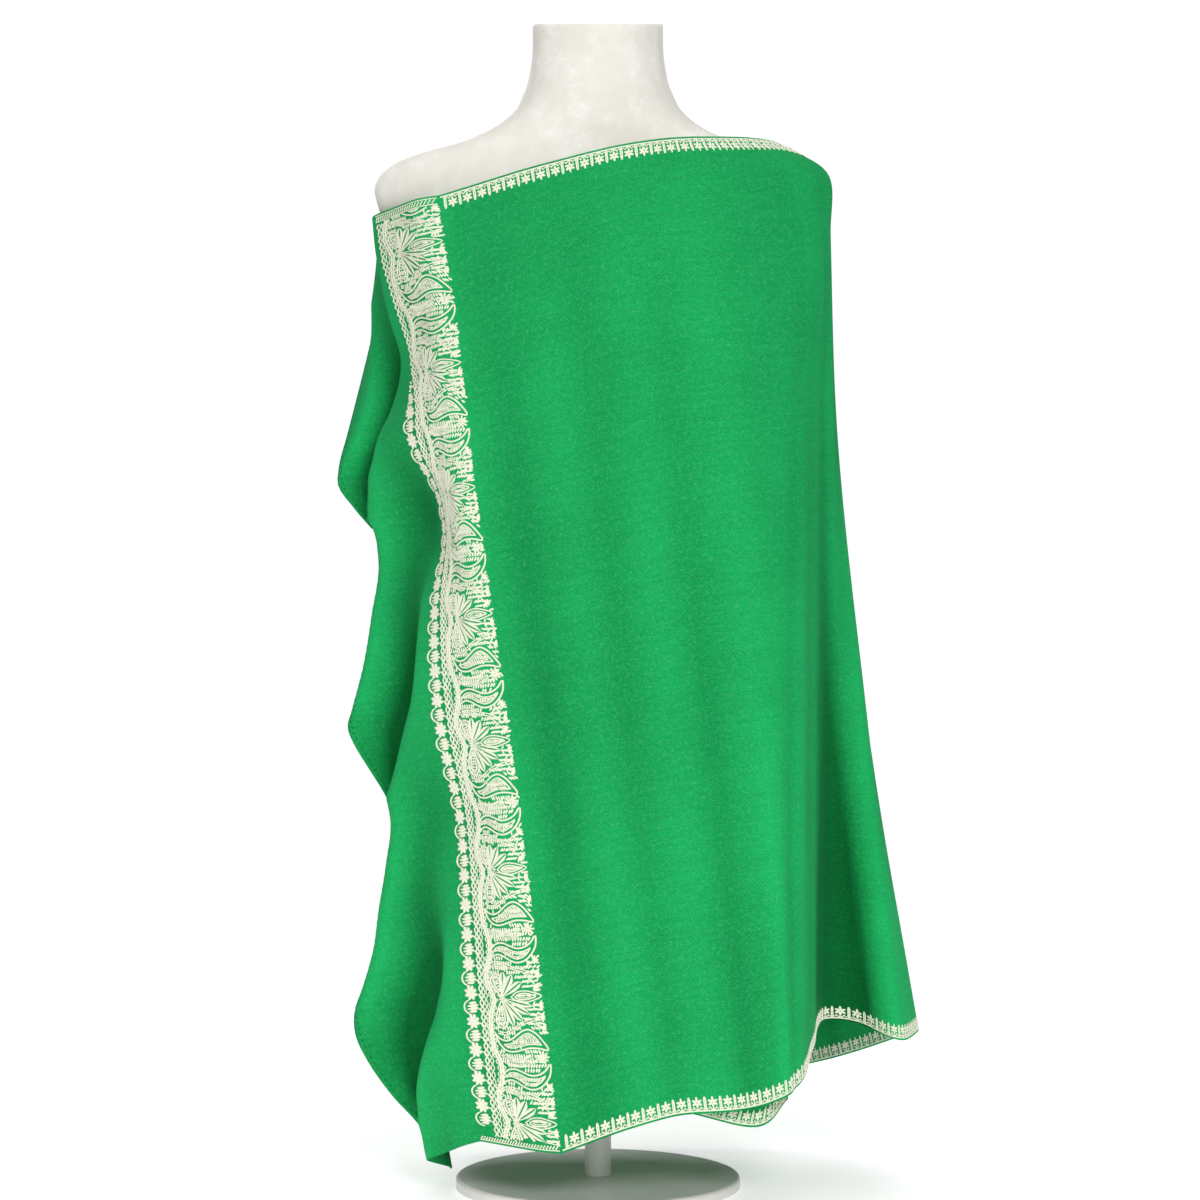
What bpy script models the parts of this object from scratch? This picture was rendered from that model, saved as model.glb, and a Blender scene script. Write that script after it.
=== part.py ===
"""A pashmina shawl, wound one and a half times round a limbless dress form.

The cloth is one rectangle. A point of it has a flat place (u, v): u runs along its length from the free end,
and v runs down from the top selvedge to the hem. Each stretch of the wound cloth is a grid whose points are
worked out from a few hanging lines and folds. Metres, +Z up, the front faces -Y, and the origin is the
centre of the underside of the stand's base.
"""

import math

import bmesh
import bpy
import numpy as np

COLLECTION = "pashmina_shawl_on_dress_form"

# Driving dimensions of the cloth
CLOTH_WIDTH = 0.89  # from the top selvedge to the hem
FLAP_LENGTH = 0.17  # the plain end past the embroidered band
PALLA_WIDTH = 0.085  # the embroidered end band
PALLA_LINE = FLAP_LENGTH + PALLA_WIDTH
WALL = 0.0018
SEAM_GAP = 0.0009
CLOTH_ROWS = 24  # faces down the width of the cloth

# Driving dimensions of the stand
BASE_RADIUS = 0.135
BASE_THICKNESS = 0.010
POLE_RADIUS = 0.0125
COLLAR_RADIUS = 0.021
COLLAR_HEIGHT = 0.022

# The torso, one ring a row
TORSO_RINGS = (
    # height, half width, depth in front of the axis, depth behind it
    (0.285, 0.100, 0.060, 0.073),
    (0.290, 0.118, 0.077, 0.089),
    (0.302, 0.128, 0.086, 0.098),
    (0.330, 0.134, 0.092, 0.106),
    (0.395, 0.138, 0.096, 0.110),
    (0.460, 0.134, 0.096, 0.101),
    (0.530, 0.124, 0.092, 0.082),
    (0.595, 0.117, 0.089, 0.071),
    (0.650, 0.121, 0.099, 0.075),
    (0.705, 0.135, 0.114, 0.085),
    (0.760, 0.148, 0.123, 0.094),
    (0.815, 0.162, 0.115, 0.102),
    (0.870, 0.185, 0.102, 0.106),
    (0.905, 0.200, 0.090, 0.104),
    (0.930, 0.209, 0.082, 0.101),
    (0.948, 0.212, 0.076, 0.098),
    (0.960, 0.206, 0.072, 0.095),
    (0.970, 0.192, 0.069, 0.091),
    (0.979, 0.168, 0.067, 0.087),
    (0.987, 0.137, 0.065, 0.083),
    (0.999, 0.107, 0.063, 0.077),
    (1.015, 0.084, 0.060, 0.069),
    (1.038, 0.070, 0.058, 0.062),
    (1.068, 0.063, 0.054, 0.057),
    (1.103, 0.062, 0.053, 0.056),
)
TORSO_SIDES = 36
NECK_SLOPE = 0.196  # the neck is cut off flat, and the cut falls towards the front

# Past the palla the cloth hangs in lines from its top selvedge to its hem. A line's row gives its flat place
# at the top and at the hem, and then its point at each of these distances from the top selvedge.
LEVELS = (0.0, 0.045, 0.10, 0.27, 0.55, CLOTH_WIDTH)
LINES = (
    ("palla line", 0.255, 0.255,
     (-0.147, -0.088, 0.928), (-0.141, -0.099, 0.886), (-0.132, -0.110, 0.833),
     (-0.112, -0.124, 0.668), (-0.074, -0.134, 0.393), (-0.033, -0.146, 0.057)),
    ("front left", 0.355, 0.350,
     (-0.047, -0.102, 0.956), (-0.041, -0.113, 0.914), (-0.034, -0.124, 0.861),
     (-0.013, -0.144, 0.690), (0.020, -0.152, 0.416), (0.064, -0.160, 0.092)),
    ("front right", 0.450, 0.435,
     (0.048, -0.095, 0.978), (0.053, -0.108, 0.936), (0.059, -0.120, 0.883),
     (0.080, -0.138, 0.712), (0.110, -0.146, 0.435), (0.146, -0.152, 0.100)),
    ("ridge", 0.560, 0.495,
     (0.136, -0.053, 0.987), (0.163, -0.065, 0.950), (0.178, -0.070, 0.893),
     (0.180, -0.088, 0.724), (0.183, -0.112, 0.444), (0.187, -0.126, 0.123)),
    ("behind ridge", 0.593, 0.560,
     (0.160, -0.033, 0.987), (0.189, -0.051, 0.955), (0.202, -0.054, 0.899),
     (0.199, -0.062, 0.729), (0.198, -0.072, 0.449), (0.199, -0.070, 0.142)),
    ("valley", 0.620, 0.615,
     (0.180, -0.009, 0.984), (0.211, -0.030, 0.957), (0.214, -0.034, 0.902),
     (0.213, -0.040, 0.732), (0.213, -0.038, 0.453), (0.214, -0.018, 0.158)),
    ("flare", 0.648, 0.695,
     (0.193, 0.020, 0.977), (0.219, -0.001, 0.955), (0.220, -0.008, 0.903),
     (0.225, -0.010, 0.733), (0.251, -0.022, 0.456), (0.284, -0.044, 0.144)),
    ("right side", 0.675, 0.760,
     (0.192, 0.048, 0.964), (0.217, 0.032, 0.944), (0.219, 0.024, 0.896),
     (0.226, 0.022, 0.728), (0.255, 0.020, 0.452), (0.306, 0.014, 0.145)),
    ("right back", 0.725, 0.885,
     (0.164, 0.082, 0.950), (0.182, 0.080, 0.913), (0.194, 0.082, 0.862),
     (0.204, 0.092, 0.692), (0.227, 0.106, 0.418), (0.253, 0.124, 0.107)),
    ("back right", 0.820, 1.010,
     (0.078, 0.114, 0.938), (0.091, 0.123, 0.896), (0.104, 0.131, 0.843),
     (0.119, 0.142, 0.673), (0.138, 0.160, 0.394), (0.152, 0.182, 0.074)),
    ("back left", 0.965, 1.170,
     (-0.062, 0.115, 0.922), (-0.054, 0.124, 0.880), (-0.046, 0.132, 0.826),
     (-0.034, 0.140, 0.656), (-0.022, 0.158, 0.376), (-0.010, 0.180, 0.058)),
    ("left back", 1.070, 1.310,
     (-0.156, 0.088, 0.903), (-0.155, 0.096, 0.861), (-0.150, 0.103, 0.808),
     (-0.142, 0.112, 0.638), (-0.140, 0.122, 0.360), (-0.140, 0.140, 0.062)),
    ("left side", 1.150, 1.410,
     (-0.206, 0.030, 0.890), (-0.199, 0.032, 0.846), (-0.184, 0.034, 0.794),
     (-0.154, 0.042, 0.626), (-0.153, 0.050, 0.354), (-0.140, 0.060, 0.084)),
    ("left front", 1.220, 1.490,
     (-0.192, -0.030, 0.884), (-0.180, -0.038, 0.840), (-0.160, -0.044, 0.790),
     (-0.124, -0.050, 0.624), (-0.136, -0.040, 0.358), (-0.118, -0.030, 0.098)),
)
# The under turn then follows the lines of the front, moved by these distances at each end of the line.
UNDER_LINES = (
    # line, u at the top, u at the hem, move at the top, move at the hem
    ("palla line", 1.290, 1.655, (0.022, 0.012, -0.018), (0.020, 0.016, 0.016)),
    ("front left", 1.390, 1.755, (0.002, 0.013, -0.018), (0.000, 0.013, 0.004)),
    ("front right", 1.480, 1.835, (-0.002, 0.013, -0.018), (-0.002, 0.013, -0.020)),
    ("ridge", 1.580, 1.885, (-0.030, -0.012, -0.030), (-0.014, 0.012, -0.022)),
)

# From the palla line to the free end each row of the cloth is a plan curve, which its headings give. A
# heading is the angle that the curve has turned from leftwards towards the back, in degrees.
HEADINGS = (
    # v, across the palla, middle of the flap, swing of the flap's folds to each side of it, fall, flap's fall
    (0.00, 55.0, 99.0, 5.0, 0.095, 0.095),
    (0.06, 56.0, 92.0, 36.0, 0.095, 0.095),
    (0.10, 57.5, 84.5, 49.0, 0.095, 0.095),
    (0.145, 64.0, 73.0, 62.5, 0.095, 0.095),
    (0.19, 57.0, 61.0, 64.5, 0.095, 0.095),
    (0.215, 50.0, 56.5, 65.0, 0.095, 0.095),
    (0.24, 56.0, 52.0, 66.0, 0.095, 0.095),
    (0.27, 70.0, 53.0, 70.0, 0.095, 0.095),
    (0.31, 74.0, 56.0, 76.0, 0.095, 0.095),
    (0.38, 54.0, 88.0, 80.0, 0.095, 0.095),
    (0.43, 44.0, 82.0, 80.0, 0.095, 0.095),
    (0.49, 39.0, 66.0, 80.0, 0.095, 0.095),
    (0.58, 49.0, 50.0, 84.0, 0.095, 0.095),
    (0.66, 43.0, 68.0, 82.0, 0.095, 0.095),
    (0.72, 37.0, 74.0, 80.0, 0.085, 0.100),
    (0.77, 34.0, 66.0, 80.0, 0.060, 0.120),
    (0.83, 31.0, 60.0, 72.0, 0.020, 0.180),
    (0.89, 33.0, 60.0, 60.0, -0.050, 0.300),
)
# The folds of the flap run straight across the flat cloth, from the palla down to the free edge.
FLAP_FOLDS = (
    # name, v at the free edge, v at the palla
    ("outer ridge 1", 0.245, -0.200),
    ("inner fold 1", 0.320, 0.000),
    ("outer ridge 2", 0.480, 0.080),
    ("inner fold 2", 0.585, 0.340),
    ("outer ridge 3", 0.765, 0.420),
    ("inner fold 3", 0.890, 0.630),
    ("outer ridge 4", 1.010, 0.730),
    ("inner fold 4", 1.150, 1.000),
)
# Each row of the flap is then moved sideways, more and more towards its free edge, until its outermost point
# is here. The free edge's two upper corners and its rounded lower one are where x is least.
OUTLINE = (
    # v, x
    (0.00, -0.2110), (0.06, -0.2175), (0.14, -0.2325), (0.20, -0.2440), (0.232, -0.2505), (0.246, -0.2512),
    (0.270, -0.2360), (0.298, -0.2145), (0.325, -0.2095), (0.38, -0.2175), (0.43, -0.2255), (0.465, -0.2345),
    (0.484, -0.2388), (0.500, -0.2330), (0.520, -0.2220), (0.550, -0.2055), (0.578, -0.1950), (0.62, -0.1995),
    (0.66, -0.2070), (0.70, -0.2130), (0.735, -0.2235), (0.755, -0.2305), (0.775, -0.2295), (0.80, -0.2180),
    (0.83, -0.1965), (0.86, -0.1680), (0.89, -0.1595),
)
PALLA_START = 0.035  # the front turns into the palla over this length
TURN_START = 0.04  # the palla turns into the flap over this length
FOLD_START = 0.15  # the flap's folds deepen over this one
OUTLINE_START = 0.12  # each row has moved to the outline over this one
HEADING_STEP = 0.0025
FOLD_SOFTNESS = 0.6  # how gently the flap turns at its folds: near 0 each fold is a crease


def smooth(knots, values, at):
    """The smooth curve through the values at the knots, read at each place of at."""
    knots, values, at = (np.asarray(each, float) for each in (knots, values, at))
    values = values.reshape(len(knots), -1)
    steps = np.diff(knots)[:, None]
    slopes = np.diff(values, axis=0) / steps
    middle = (slopes[:-1] * steps[1:] + slopes[1:] * steps[:-1]) / (steps[:-1] + steps[1:])
    tangents = np.vstack([slopes[:1], middle, slopes[-1:]])
    first = np.clip(np.searchsorted(knots, at, side="right") - 1, 0, len(knots) - 2)
    step = steps[first]
    t = (at[:, None] - knots[first][:, None]) / step
    return (
        values[first] * (2 * t**3 - 3 * t**2 + 1)
        + tangents[first] * step * (t**3 - 2 * t**2 + t)
        + values[first + 1] * (3 * t**2 - 2 * t**3)
        + tangents[first + 1] * step * (t**3 - t**2)
    )


def ease(t):
    """Rises smoothly from 0 to 1 as t does."""
    t = np.clip(t, 0.0, 1.0)
    return t * t * (3 - 2 * t)


def all_lines():
    """Every hanging line in order, as (name, flat places at top and hem, points at the levels)."""
    lines = [(row[0], row[1:3], np.array(row[3:])) for row in LINES]
    fronts = {name: points for name, _, points in lines}
    share = (np.array(LEVELS) / CLOTH_WIDTH)[:, None]
    for name, top, hem, top_move, hem_move in UNDER_LINES:
        move = np.array(top_move) * (1 - share) + np.array(hem_move) * share
        lines.append((f"under {name}", (top, hem), fronts[name] + move))
    return lines


HANGING = all_lines()
PLACES = {name: sum(flat) / 2 for name, flat, _ in HANGING}  # a line's place along the cloth


def hanging_row(v, places):
    """The points of one row past the palla line, at the given places along the cloth."""
    at_v = np.array([smooth(LEVELS, points, [v])[0] for _, _, points in HANGING])
    return smooth(list(PLACES.values()), at_v, places)


def fold_phase(u, v):
    """Counts the flap's ridges at (u, v): whole on an outer ridge, half on an inner fold."""
    share = u / FLAP_LENGTH
    across = [free * (1 - share) + palla * share for _, free, palla in FLAP_FOLDS]
    return np.interp(v, across, np.arange(len(across)) / 2 + 1)


def headings_row(v):
    """The row of HEADINGS at v, without its v."""
    return smooth([row[0] for row in HEADINGS], [row[1:] for row in HEADINGS], [v])[0]


def headings(u, v, first):
    """The heading in radians of row v at each flat place u, where the front reaches the palla line at first."""
    palla, middle, swing = headings_row(v)[:3]
    phase = np.array([fold_phase(each, v) for each in u])
    palla = np.degrees(first) + (palla - np.degrees(first)) * ease((PALLA_LINE - u) / PALLA_START)
    turned = ease((FLAP_LENGTH - u) / TURN_START)
    deep = ease((FLAP_LENGTH - u) / FOLD_START)
    wave = np.sin(2 * math.pi * phase)
    wave = wave * np.sqrt((1 + FOLD_SOFTNESS**2) / (wave**2 + FOLD_SOFTNESS**2))
    return np.radians(palla + (middle - palla) * turned - swing * deep * wave)


def free_row(v, places):
    """The points of one row between the free end and the palla line."""
    line = PLACES["palla line"]
    start, after = hanging_row(v, [line, line + HEADING_STEP])
    first = math.atan2(start[1] - after[1], after[0] - start[0])
    u = np.arange(PALLA_LINE, -HEADING_STEP / 2, -HEADING_STEP)
    turn = headings(u - HEADING_STEP / 2, v, first)
    x = start[0] - np.concatenate([[0], np.cumsum(np.cos(turn))[:-1]]) * HEADING_STEP
    y = start[1] + np.concatenate([[0], np.cumsum(np.sin(turn))[:-1]]) * HEADING_STEP
    outermost = smooth([row[0] for row in OUTLINE], [row[1] for row in OUTLINE], [v])[0, 0]
    x = x + (outermost - x.min()) * ease((FLAP_LENGTH - u) / OUTLINE_START)
    palla_fall, flap_fall = headings_row(v)[3:]
    z = start[2] - palla_fall * np.minimum(PALLA_LINE - u, PALLA_WIDTH)
    z = z - flap_fall * np.maximum(FLAP_LENGTH - u, 0.0)
    return np.column_stack([np.interp(places, u[::-1], each[::-1]) for each in (x, y, z)])


# Building

# The stretches of the wound cloth, in order from the free end: the lines that each runs between.
STRETCHES = (
    # node, from, to, faces along the cloth, colour
    ("shawl_front", "palla line", "ridge", 17, "green"),
    ("shawl_right_side", "ridge", "right back", 16, "green"),
    ("shawl_back", "right back", "left side", 24, "green"),
    ("shawl_under_turn", "left side", "under ridge", 26, "green"),
)
FREE_FACES = 18
PALLA_FACES = 6
COLOURS = {
    "green": (0.012, 0.29, 0.085),
    "cream and green": (0.42, 0.52, 0.30),
    "velvet": (0.85, 0.82, 0.74),
    "painted metal": (0.80, 0.78, 0.74),
}
ROUGHNESS = {"green": 0.75, "cream and green": 0.75, "velvet": 0.9, "painted metal": 0.4}
FIT_GAP = 0.0003  # between touching pieces of the stand
POLE_SIDES = 32
BASE_SIDES = 64
BASE_EDGE = 0.003


def clear_scene():
    for obj in list(bpy.data.objects):
        bpy.data.objects.remove(obj, do_unlink=True)


def material(name, finish):
    """A new Principled material."""
    made = bpy.data.materials.new(name)
    made.use_nodes = True
    shader = made.node_tree.nodes["Principled BSDF"]
    shader.inputs["Base Color"].default_value = (*COLOURS[finish], 1.0)
    shader.inputs["Roughness"].default_value = ROUGHNESS[finish]
    return made


def piece(name, bm, finish, smoothed=True):
    """A named object made of the bmesh."""
    bmesh.ops.recalc_face_normals(bm, faces=bm.faces)
    for face in bm.faces:
        face.smooth = smoothed
    mesh = bpy.data.meshes.new(name)
    bm.to_mesh(mesh)
    bm.free()
    mesh.materials.append(material(name, finish))
    made = bpy.data.objects.new(name, mesh)
    bpy.data.collections[COLLECTION].objects.link(made)
    return made


def stretch(name, row, places, finish):
    """One stretch of the cloth: a grid of rows down the width, given a wall."""
    heights = np.linspace(0.0, CLOTH_WIDTH, CLOTH_ROWS + 1)
    bm = bmesh.new()
    bmesh.ops.create_grid(bm, x_segments=len(places) - 1, y_segments=CLOTH_ROWS, size=1.0)
    bm.verts.ensure_lookup_table()
    points = np.array([row(v, places) for v in heights]).reshape(-1, 3)
    for vert, point in zip(bm.verts, points):
        vert.co = point
    made = piece(name, bm, finish)
    wall = made.modifiers.new("wall", "SOLIDIFY")
    wall.thickness = WALL
    wall.offset = 0.0
    wall.use_even_offset = True
    return made


def between(start, end, faces):
    """Places from one seam to the next, stopping short of each by half of the gap."""
    return np.linspace(start + SEAM_GAP / 2, end - SEAM_GAP / 2, faces + 1)


def build_cloth():
    stretch("shawl_free_end", free_row, between(0.0, FLAP_LENGTH, FREE_FACES), "green")
    palla = between(FLAP_LENGTH, PALLA_LINE, PALLA_FACES)
    stretch("shawl_palla", free_row, palla, "cream and green")
    for name, start, end, faces, finish in STRETCHES:
        stretch(name, hanging_row, between(PLACES[start], PLACES[end], faces), finish)


def build_torso():
    """The torso: a ring of points for each row, joined side by side, with flat ends."""
    turns = np.linspace(0, 2 * math.pi, TORSO_SIDES, endpoint=False)
    bm = bmesh.new()
    rings = []
    for height, half, front, back in TORSO_RINGS:
        depths = np.where(np.sin(turns) < 0, front, back)
        ring = zip(half * np.cos(turns), depths * np.sin(turns))
        slope = NECK_SLOPE if height == TORSO_RINGS[-1][0] else 0.0
        rings.append([bm.verts.new((x, y, height + slope * y)) for x, y in ring])
    for low, high in zip(rings, rings[1:]):
        for i in range(TORSO_SIDES):
            j = (i + 1) % TORSO_SIDES
            bm.faces.new((low[i], low[j], high[j], high[i]))
    bm.faces.new(rings[0][::-1])
    bm.faces.new(rings[-1])
    return piece("form_torso", bm, "velvet")


def disc(name, radius, bottom, top, sides, edge, finish):
    """A round piece on the axis, with its top edge bevelled."""
    bm = bmesh.new()
    bmesh.ops.create_cone(
        bm, cap_ends=True, segments=sides, radius1=radius, radius2=radius, depth=top - bottom
    )
    bmesh.ops.translate(bm, verts=bm.verts, vec=(0, 0, (bottom + top) / 2))
    if edge:
        rim = [each for each in bm.edges if all(vert.co.z > top - edge for vert in each.verts)]
        bmesh.ops.bevel(bm, geom=rim, offset=edge, segments=3, profile=0.5, affect="EDGES")
    return piece(name, bm, finish, smoothed=False)


def build_stand():
    torso_bottom = TORSO_RINGS[0][0]
    collar_top = torso_bottom - FIT_GAP
    disc("form_base", BASE_RADIUS, 0.0, BASE_THICKNESS, BASE_SIDES, BASE_EDGE, "painted metal")
    pole = (BASE_THICKNESS + FIT_GAP, collar_top - COLLAR_HEIGHT - FIT_GAP)
    disc("form_pole", POLE_RADIUS, *pole, POLE_SIDES, 0.0, "painted metal")
    disc("form_collar", COLLAR_RADIUS, collar_top - COLLAR_HEIGHT, collar_top, POLE_SIDES, 0.0, "painted metal")


clear_scene()
bpy.context.scene.collection.children.link(bpy.data.collections.new(COLLECTION))
build_cloth()
build_torso()
build_stand()
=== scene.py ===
"""A pashmina shawl wound round a velvet dress form: the cloth, its needlework and the form."""

import math

import bmesh
import bpy
import numpy as np
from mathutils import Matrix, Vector


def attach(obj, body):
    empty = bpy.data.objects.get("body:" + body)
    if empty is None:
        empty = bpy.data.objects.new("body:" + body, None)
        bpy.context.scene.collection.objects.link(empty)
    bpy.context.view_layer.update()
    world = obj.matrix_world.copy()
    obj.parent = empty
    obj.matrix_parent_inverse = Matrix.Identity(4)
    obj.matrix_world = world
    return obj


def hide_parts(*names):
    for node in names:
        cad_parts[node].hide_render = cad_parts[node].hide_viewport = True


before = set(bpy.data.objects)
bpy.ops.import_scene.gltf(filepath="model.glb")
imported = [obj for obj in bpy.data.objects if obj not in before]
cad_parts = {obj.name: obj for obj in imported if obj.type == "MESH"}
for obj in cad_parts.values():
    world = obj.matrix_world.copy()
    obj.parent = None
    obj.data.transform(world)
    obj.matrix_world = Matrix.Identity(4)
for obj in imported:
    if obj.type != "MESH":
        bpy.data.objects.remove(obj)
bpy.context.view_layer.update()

# ---- The shape of the wound cloth, from the same named values as the solids ----

CLOTH_WIDTH = 0.89  # from the top selvedge to the hem
FLAP_LENGTH = 0.17  # the plain end past the embroidered band
PALLA_WIDTH = 0.085  # the embroidered end band
PALLA_LINE = FLAP_LENGTH + PALLA_WIDTH

# The torso, one ring a row
TORSO_RINGS = (
    # height, half width, depth in front of the axis, depth behind it
    (0.285, 0.100, 0.060, 0.073),
    (0.290, 0.118, 0.077, 0.089),
    (0.302, 0.128, 0.086, 0.098),
    (0.330, 0.134, 0.092, 0.106),
    (0.395, 0.138, 0.096, 0.110),
    (0.460, 0.134, 0.096, 0.101),
    (0.530, 0.124, 0.092, 0.082),
    (0.595, 0.117, 0.089, 0.071),
    (0.650, 0.121, 0.099, 0.075),
    (0.705, 0.135, 0.114, 0.085),
    (0.760, 0.148, 0.123, 0.094),
    (0.815, 0.162, 0.115, 0.102),
    (0.870, 0.185, 0.102, 0.106),
    (0.905, 0.200, 0.090, 0.104),
    (0.930, 0.209, 0.082, 0.101),
    (0.948, 0.212, 0.076, 0.098),
    (0.960, 0.206, 0.072, 0.095),
    (0.970, 0.192, 0.069, 0.091),
    (0.979, 0.168, 0.067, 0.087),
    (0.987, 0.137, 0.065, 0.083),
    (0.999, 0.107, 0.063, 0.077),
    (1.015, 0.084, 0.060, 0.069),
    (1.038, 0.070, 0.058, 0.062),
    (1.068, 0.063, 0.054, 0.057),
    (1.103, 0.062, 0.053, 0.056),
)
NECK_SLOPE = 0.196  # the neck is cut off flat, and the cut falls towards the front

# Past the palla the cloth hangs in lines from its top selvedge to its hem. A line's row gives its
# flat place at the top and at the hem, and then its point at each of these distances from the top.
LEVELS = (0.0, 0.045, 0.10, 0.27, 0.55, CLOTH_WIDTH)
LINES = (
    ("palla line", 0.255, 0.255,
     (-0.147, -0.088, 0.928), (-0.141, -0.099, 0.886), (-0.132, -0.110, 0.833),
     (-0.112, -0.124, 0.668), (-0.074, -0.134, 0.393), (-0.033, -0.146, 0.057)),
    ("front left", 0.355, 0.350,
     (-0.047, -0.102, 0.956), (-0.041, -0.113, 0.914), (-0.034, -0.124, 0.861),
     (-0.013, -0.144, 0.690), (0.020, -0.152, 0.416), (0.064, -0.160, 0.092)),
    ("front right", 0.450, 0.435,
     (0.048, -0.095, 0.978), (0.053, -0.108, 0.936), (0.059, -0.120, 0.883),
     (0.080, -0.138, 0.712), (0.110, -0.146, 0.435), (0.146, -0.152, 0.100)),
    ("ridge", 0.560, 0.495,
     (0.136, -0.053, 0.987), (0.163, -0.065, 0.950), (0.178, -0.070, 0.893),
     (0.180, -0.088, 0.724), (0.183, -0.112, 0.444), (0.187, -0.126, 0.123)),
    ("behind ridge", 0.593, 0.560,
     (0.160, -0.033, 0.987), (0.189, -0.051, 0.955), (0.202, -0.054, 0.899),
     (0.199, -0.062, 0.729), (0.198, -0.072, 0.449), (0.199, -0.070, 0.142)),
    ("valley", 0.620, 0.615,
     (0.180, -0.009, 0.984), (0.211, -0.030, 0.957), (0.214, -0.034, 0.902),
     (0.213, -0.040, 0.732), (0.213, -0.038, 0.453), (0.214, -0.018, 0.158)),
    ("flare", 0.648, 0.695,
     (0.193, 0.020, 0.977), (0.219, -0.001, 0.955), (0.220, -0.008, 0.903),
     (0.225, -0.010, 0.733), (0.251, -0.022, 0.456), (0.284, -0.044, 0.144)),
    ("right side", 0.675, 0.760,
     (0.192, 0.048, 0.964), (0.217, 0.032, 0.944), (0.219, 0.024, 0.896),
     (0.226, 0.022, 0.728), (0.255, 0.020, 0.452), (0.306, 0.014, 0.145)),
    ("right back", 0.725, 0.885,
     (0.164, 0.082, 0.950), (0.182, 0.080, 0.913), (0.194, 0.082, 0.862),
     (0.204, 0.092, 0.692), (0.227, 0.106, 0.418), (0.253, 0.124, 0.107)),
    ("back right", 0.820, 1.010,
     (0.078, 0.114, 0.938), (0.091, 0.123, 0.896), (0.104, 0.131, 0.843),
     (0.119, 0.142, 0.673), (0.138, 0.160, 0.394), (0.152, 0.182, 0.074)),
    ("back left", 0.965, 1.170,
     (-0.062, 0.115, 0.922), (-0.054, 0.124, 0.880), (-0.046, 0.132, 0.826),
     (-0.034, 0.140, 0.656), (-0.022, 0.158, 0.376), (-0.010, 0.180, 0.058)),
    ("left back", 1.070, 1.310,
     (-0.156, 0.088, 0.903), (-0.155, 0.096, 0.861), (-0.150, 0.103, 0.808),
     (-0.142, 0.112, 0.638), (-0.140, 0.122, 0.360), (-0.140, 0.140, 0.062)),
    ("left side", 1.150, 1.410,
     (-0.206, 0.030, 0.890), (-0.199, 0.032, 0.846), (-0.184, 0.034, 0.794),
     (-0.154, 0.042, 0.626), (-0.153, 0.050, 0.354), (-0.140, 0.060, 0.084)),
    ("left front", 1.220, 1.490,
     (-0.192, -0.030, 0.884), (-0.180, -0.038, 0.840), (-0.160, -0.044, 0.790),
     (-0.124, -0.050, 0.624), (-0.136, -0.040, 0.358), (-0.118, -0.030, 0.098)),
)
# The under turn follows the lines of the front, moved by these distances at each end of a line.
UNDER_LINES = (
    # line, u at the top, u at the hem, move at the top, move at the hem
    ("palla line", 1.290, 1.655, (0.022, 0.012, -0.018), (0.020, 0.016, 0.016)),
    ("front left", 1.390, 1.755, (0.002, 0.013, -0.018), (0.000, 0.013, 0.004)),
    ("front right", 1.480, 1.835, (-0.002, 0.013, -0.018), (-0.002, 0.013, -0.020)),
    ("ridge", 1.580, 1.885, (-0.030, -0.012, -0.030), (-0.014, 0.012, -0.022)),
)

# From the palla line to the free end each row is a curve in plan, which its headings give: the
# angles that the curve has turned from leftwards towards the back, in degrees.
HEADINGS = (
    # v, across the palla, middle of the flap, swing of the flap's folds to each side of that,
    # fall of the palla and of the flap for each metre along the row
    (0.00, 55.0, 99.0, 5.0, 0.095, 0.095),
    (0.06, 56.0, 92.0, 36.0, 0.095, 0.095),
    (0.10, 57.5, 84.5, 49.0, 0.095, 0.095),
    (0.145, 64.0, 73.0, 62.5, 0.095, 0.095),
    (0.19, 57.0, 61.0, 64.5, 0.095, 0.095),
    (0.215, 50.0, 56.5, 65.0, 0.095, 0.095),
    (0.24, 56.0, 52.0, 66.0, 0.095, 0.095),
    (0.27, 70.0, 53.0, 70.0, 0.095, 0.095),
    (0.31, 74.0, 56.0, 76.0, 0.095, 0.095),
    (0.38, 54.0, 88.0, 80.0, 0.095, 0.095),
    (0.43, 44.0, 82.0, 80.0, 0.095, 0.095),
    (0.49, 39.0, 66.0, 80.0, 0.095, 0.095),
    (0.58, 49.0, 50.0, 84.0, 0.095, 0.095),
    (0.66, 43.0, 68.0, 82.0, 0.095, 0.095),
    (0.72, 37.0, 74.0, 80.0, 0.085, 0.100),
    (0.77, 34.0, 66.0, 80.0, 0.060, 0.120),
    (0.83, 31.0, 60.0, 72.0, 0.020, 0.180),
    (0.89, 33.0, 60.0, 60.0, -0.050, 0.300),
)
# The folds of the flap run straight across the flat cloth, from the palla down to the free edge.
FLAP_FOLDS = (
    # name, v at the free edge, v at the palla
    ("outer ridge 1", 0.245, -0.200),
    ("inner fold 1", 0.320, 0.000),
    ("outer ridge 2", 0.480, 0.080),
    ("inner fold 2", 0.585, 0.340),
    ("outer ridge 3", 0.765, 0.420),
    ("inner fold 3", 0.890, 0.630),
    ("outer ridge 4", 1.010, 0.730),
    ("inner fold 4", 1.150, 1.000),
)
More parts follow.
